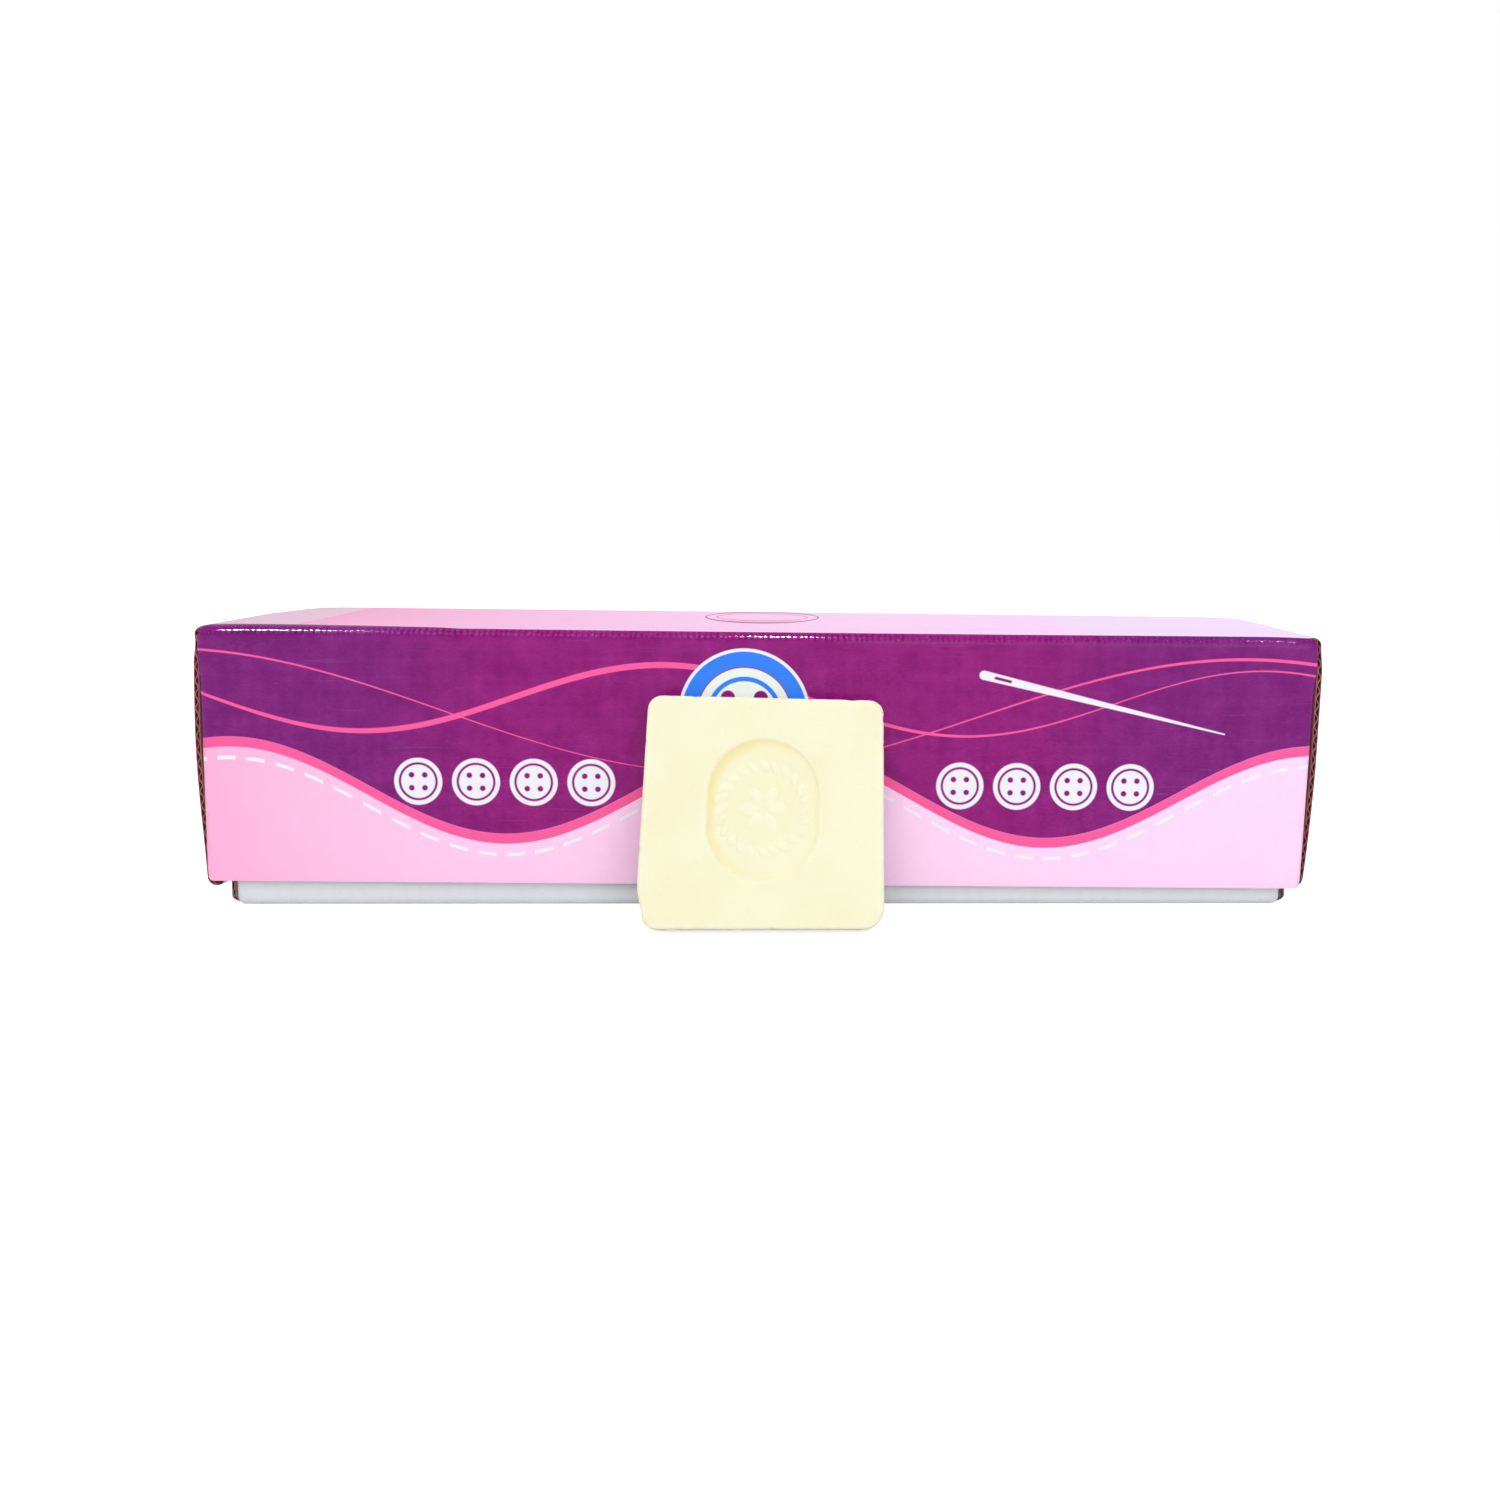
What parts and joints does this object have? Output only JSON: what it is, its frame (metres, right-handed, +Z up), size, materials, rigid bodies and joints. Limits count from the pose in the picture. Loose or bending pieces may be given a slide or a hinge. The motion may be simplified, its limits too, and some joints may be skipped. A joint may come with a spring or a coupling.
{
  "type": "boxed tailor's chalk",
  "caption": "Folded carton with a lift-off lid, holding a row of square pressed chalks for marking cloth, and a loose chalk that leans on its front.",
  "frame": {"origin": "centre of the underside of the carton's lower half", "axes": "+X along the carton to the right, +Y from its printed front to its back, +Z up"},
  "size_m": [0.2453, 0.081, 0.0623],
  "materials": {
    "tray_board": "satin",
    "printed_board": "gloss",
    "pressed_chalk": "matt"
  },
  "bodies": {
    "tray": {"tray": "tray_board"},
    "lid": {"lid": "printed_board"},
    "sample_chalk": {"sample_chalk": "pressed_chalk"},
    "chalk_01": {"chalk_01": "pressed_chalk"},
    "chalk_02": {"chalk_02": "pressed_chalk"},
    "chalk_03": {"chalk_03": "pressed_chalk"},
    "chalk_04": {"chalk_04": "pressed_chalk"},
    "chalk_05": {"chalk_05": "pressed_chalk"},
    "chalk_06": {"chalk_06": "pressed_chalk"},
    "chalk_07": {"chalk_07": "pressed_chalk"},
    "chalk_08": {"chalk_08": "pressed_chalk"},
    "chalk_09": {"chalk_09": "pressed_chalk"},
    "chalk_10": {"chalk_10": "pressed_chalk"},
    "chalk_11": {"chalk_11": "pressed_chalk"},
    "chalk_12": {"chalk_12": "pressed_chalk"},
    "chalk_13": {"chalk_13": "pressed_chalk"},
    "chalk_14": {"chalk_14": "pressed_chalk"},
    "chalk_15": {"chalk_15": "pressed_chalk"},
    "chalk_16": {"chalk_16": "pressed_chalk"},
    "chalk_17": {"chalk_17": "pressed_chalk"},
    "chalk_18": {"chalk_18": "pressed_chalk"},
    "chalk_19": {"chalk_19": "pressed_chalk"},
    "chalk_20": {"chalk_20": "pressed_chalk"},
    "chalk_21": {"chalk_21": "pressed_chalk"},
    "chalk_22": {"chalk_22": "pressed_chalk"},
    "chalk_23": {"chalk_23": "pressed_chalk"},
    "chalk_24": {"chalk_24": "pressed_chalk"},
    "chalk_25": {"chalk_25": "pressed_chalk"},
    "chalk_26": {"chalk_26": "pressed_chalk"},
    "chalk_27": {"chalk_27": "pressed_chalk"},
    "chalk_28": {"chalk_28": "pressed_chalk"},
    "chalk_29": {"chalk_29": "pressed_chalk"},
    "chalk_30": {"chalk_30": "pressed_chalk"},
    "chalk_31": {"chalk_31": "pressed_chalk"},
    "chalk_32": {"chalk_32": "pressed_chalk"},
    "chalk_33": {"chalk_33": "pressed_chalk"},
    "chalk_34": {"chalk_34": "pressed_chalk"},
    "chalk_35": {"chalk_35": "pressed_chalk"}
  },
  "joints": [
    {"name": "lid_lift", "type": "slide", "parent": "tray", "child": "lid", "axis": [0, 0, 1], "range_m": [0, 0.15]},
    {"name": "sample_lift", "type": "slide", "parent": "tray", "child": "sample_chalk", "axis": [0, 0, 1], "range_m": [0, 0.1]},
    {"name": "chalk_01_lift", "type": "slide", "parent": "tray", "child": "chalk_01", "axis": [0, 0, 1], "range_m": [0, 0.068]},
    {"name": "chalk_02_lift", "type": "slide", "parent": "tray", "child": "chalk_02", "axis": [0, 0, 1], "range_m": [0, 0.068]},
    {"name": "chalk_03_lift", "type": "slide", "parent": "tray", "child": "chalk_03", "axis": [0, 0, 1], "range_m": [0, 0.068]},
    {"name": "chalk_04_lift", "type": "slide", "parent": "tray", "child": "chalk_04", "axis": [0, 0, 1], "range_m": [0, 0.068]},
    {"name": "chalk_05_lift", "type": "slide", "parent": "tray", "child": "chalk_05", "axis": [0, 0, 1], "range_m": [0, 0.068]},
    {"name": "chalk_06_lift", "type": "slide", "parent": "tray", "child": "chalk_06", "axis": [0, 0, 1], "range_m": [0, 0.068]},
    {"name": "chalk_07_lift", "type": "slide", "parent": "tray", "child": "chalk_07", "axis": [0, 0, 1], "range_m": [0, 0.068]},
    {"name": "chalk_08_lift", "type": "slide", "parent": "tray", "child": "chalk_08", "axis": [0, 0, 1], "range_m": [0, 0.068]},
    {"name": "chalk_09_lift", "type": "slide", "parent": "tray", "child": "chalk_09", "axis": [0, 0, 1], "range_m": [0, 0.068]},
    {"name": "chalk_10_lift", "type": "slide", "parent": "tray", "child": "chalk_10", "axis": [0, 0, 1], "range_m": [0, 0.068]},
    {"name": "chalk_11_lift", "type": "slide", "parent": "tray", "child": "chalk_11", "axis": [0, 0, 1], "range_m": [0, 0.068]},
    {"name": "chalk_12_lift", "type": "slide", "parent": "tray", "child": "chalk_12", "axis": [0, 0, 1], "range_m": [0, 0.068]},
    {"name": "chalk_13_lift", "type": "slide", "parent": "tray", "child": "chalk_13", "axis": [0, 0, 1], "range_m": [0, 0.068]},
    {"name": "chalk_14_lift", "type": "slide", "parent": "tray", "child": "chalk_14", "axis": [0, 0, 1], "range_m": [0, 0.068]},
    {"name": "chalk_15_lift", "type": "slide", "parent": "tray", "child": "chalk_15", "axis": [0, 0, 1], "range_m": [0, 0.068]},
    {"name": "chalk_16_lift", "type": "slide", "parent": "tray", "child": "chalk_16", "axis": [0, 0, 1], "range_m": [0, 0.068]},
    {"name": "chalk_17_lift", "type": "slide", "parent": "tray", "child": "chalk_17", "axis": [0, 0, 1], "range_m": [0, 0.068]},
    {"name": "chalk_18_lift", "type": "slide", "parent": "tray", "child": "chalk_18", "axis": [0, 0, 1], "range_m": [0, 0.068]},
    {"name": "chalk_19_lift", "type": "slide", "parent": "tray", "child": "chalk_19", "axis": [0, 0, 1], "range_m": [0, 0.068]},
    {"name": "chalk_20_lift", "type": "slide", "parent": "tray", "child": "chalk_20", "axis": [0, 0, 1], "range_m": [0, 0.068]},
    {"name": "chalk_21_lift", "type": "slide", "parent": "tray", "child": "chalk_21", "axis": [0, 0, 1], "range_m": [0, 0.068]},
    {"name": "chalk_22_lift", "type": "slide", "parent": "tray", "child": "chalk_22", "axis": [0, 0, 1], "range_m": [0, 0.068]},
    {"name": "chalk_23_lift", "type": "slide", "parent": "tray", "child": "chalk_23", "axis": [0, 0, 1], "range_m": [0, 0.068]},
    {"name": "chalk_24_lift", "type": "slide", "parent": "tray", "child": "chalk_24", "axis": [0, 0, 1], "range_m": [0, 0.068]},
    {"name": "chalk_25_lift", "type": "slide", "parent": "tray", "child": "chalk_25", "axis": [0, 0, 1], "range_m": [0, 0.068]},
    {"name": "chalk_26_lift", "type": "slide", "parent": "tray", "child": "chalk_26", "axis": [0, 0, 1], "range_m": [0, 0.068]},
    {"name": "chalk_27_lift", "type": "slide", "parent": "tray", "child": "chalk_27", "axis": [0, 0, 1], "range_m": [0, 0.068]},
    {"name": "chalk_28_lift", "type": "slide", "parent": "tray", "child": "chalk_28", "axis": [0, 0, 1], "range_m": [0, 0.068]},
    {"name": "chalk_29_lift", "type": "slide", "parent": "tray", "child": "chalk_29", "axis": [0, 0, 1], "range_m": [0, 0.068]},
    {"name": "chalk_30_lift", "type": "slide", "parent": "tray", "child": "chalk_30", "axis": [0, 0, 1], "range_m": [0, 0.068]},
    {"name": "chalk_31_lift", "type": "slide", "parent": "tray", "child": "chalk_31", "axis": [0, 0, 1], "range_m": [0, 0.068]},
    {"name": "chalk_32_lift", "type": "slide", "parent": "tray", "child": "chalk_32", "axis": [0, 0, 1], "range_m": [0, 0.068]},
    {"name": "chalk_33_lift", "type": "slide", "parent": "tray", "child": "chalk_33", "axis": [0, 0, 1], "range_m": [0, 0.068]},
    {"name": "chalk_34_lift", "type": "slide", "parent": "tray", "child": "chalk_34", "axis": [0, 0, 1], "range_m": [0, 0.068]},
    {"name": "chalk_35_lift", "type": "slide", "parent": "tray", "child": "chalk_35", "axis": [0, 0, 1], "range_m": [0, 0.068]}
  ],
  "couplings": [
    {"joint": "chalk_01_lift", "follows": "lid_lift", "ratio": 0.45},
    {"joint": "chalk_02_lift", "follows": "lid_lift", "ratio": 0.45},
    {"joint": "chalk_03_lift", "follows": "lid_lift", "ratio": 0.45},
    {"joint": "chalk_04_lift", "follows": "lid_lift", "ratio": 0.45},
    {"joint": "chalk_05_lift", "follows": "lid_lift", "ratio": 0.45},
    {"joint": "chalk_06_lift", "follows": "lid_lift", "ratio": 0.45},
    {"joint": "chalk_07_lift", "follows": "lid_lift", "ratio": 0.45},
    {"joint": "chalk_08_lift", "follows": "lid_lift", "ratio": 0.45},
    {"joint": "chalk_09_lift", "follows": "lid_lift", "ratio": 0.45},
    {"joint": "chalk_10_lift", "follows": "lid_lift", "ratio": 0.45},
    {"joint": "chalk_11_lift", "follows": "lid_lift", "ratio": 0.45},
    {"joint": "chalk_12_lift", "follows": "lid_lift", "ratio": 0.45},
    {"joint": "chalk_13_lift", "follows": "lid_lift", "ratio": 0.45},
    {"joint": "chalk_14_lift", "follows": "lid_lift", "ratio": 0.45},
    {"joint": "chalk_15_lift", "follows": "lid_lift", "ratio": 0.45},
    {"joint": "chalk_16_lift", "follows": "lid_lift", "ratio": 0.45},
    {"joint": "chalk_17_lift", "follows": "lid_lift", "ratio": 0.45},
    {"joint": "chalk_18_lift", "follows": "lid_lift", "ratio": 0.45},
    {"joint": "chalk_19_lift", "follows": "lid_lift", "ratio": 0.45},
    {"joint": "chalk_20_lift", "follows": "lid_lift", "ratio": 0.45},
    {"joint": "chalk_21_lift", "follows": "lid_lift", "ratio": 0.45},
    {"joint": "chalk_22_lift", "follows": "lid_lift", "ratio": 0.45},
    {"joint": "chalk_23_lift", "follows": "lid_lift", "ratio": 0.45},
    {"joint": "chalk_24_lift", "follows": "lid_lift", "ratio": 0.45},
    {"joint": "chalk_25_lift", "follows": "lid_lift", "ratio": 0.45},
    {"joint": "chalk_26_lift", "follows": "lid_lift", "ratio": 0.45},
    {"joint": "chalk_27_lift", "follows": "lid_lift", "ratio": 0.45},
    {"joint": "chalk_28_lift", "follows": "lid_lift", "ratio": 0.45},
    {"joint": "chalk_29_lift", "follows": "lid_lift", "ratio": 0.45},
    {"joint": "chalk_30_lift", "follows": "lid_lift", "ratio": 0.45},
    {"joint": "chalk_31_lift", "follows": "lid_lift", "ratio": 0.45},
    {"joint": "chalk_32_lift", "follows": "lid_lift", "ratio": 0.45},
    {"joint": "chalk_33_lift", "follows": "lid_lift", "ratio": 0.45},
    {"joint": "chalk_34_lift", "follows": "lid_lift", "ratio": 0.45},
    {"joint": "chalk_35_lift", "follows": "lid_lift", "ratio": 0.45}
  ]
}
